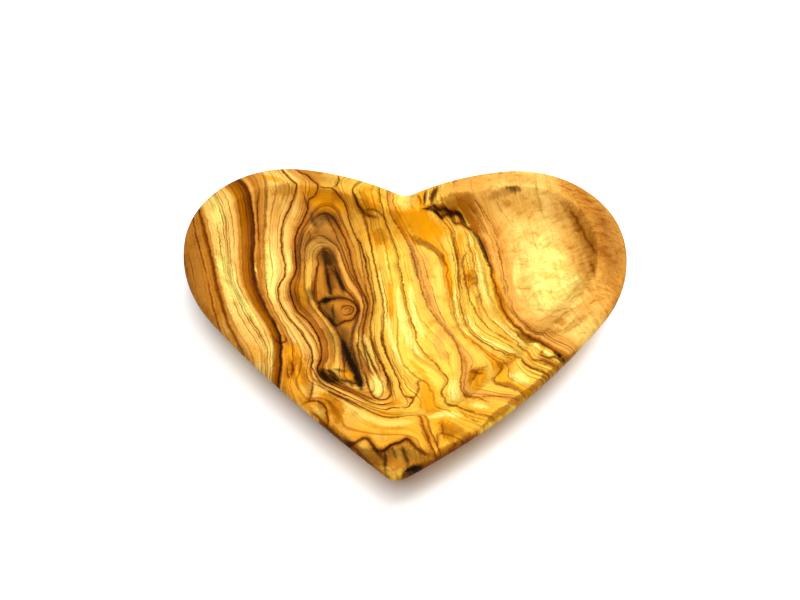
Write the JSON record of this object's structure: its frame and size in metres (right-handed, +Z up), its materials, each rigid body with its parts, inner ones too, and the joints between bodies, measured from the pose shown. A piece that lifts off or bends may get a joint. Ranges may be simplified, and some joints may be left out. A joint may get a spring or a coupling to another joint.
{
  "type": "heart-shaped dish",
  "caption": "Shallow heart-shaped serving dish carved from solid olive wood, with a rounded rim, an open hollow for olives or nuts and a flat base to stand on.",
  "frame": {"origin": "centre of the dish's footprint, on the plane of the base", "axes": "+X across the two lobes, +Y from the tip towards the lobes, +Z up out of the hollow"},
  "size_m": [0.1298, 0.1089, 0.022],
  "materials": {
    "olive_wood": "oiled and polished"
  },
  "bodies": {
    "root": {"dish": "olive_wood"}
  },
  "joints": []
}
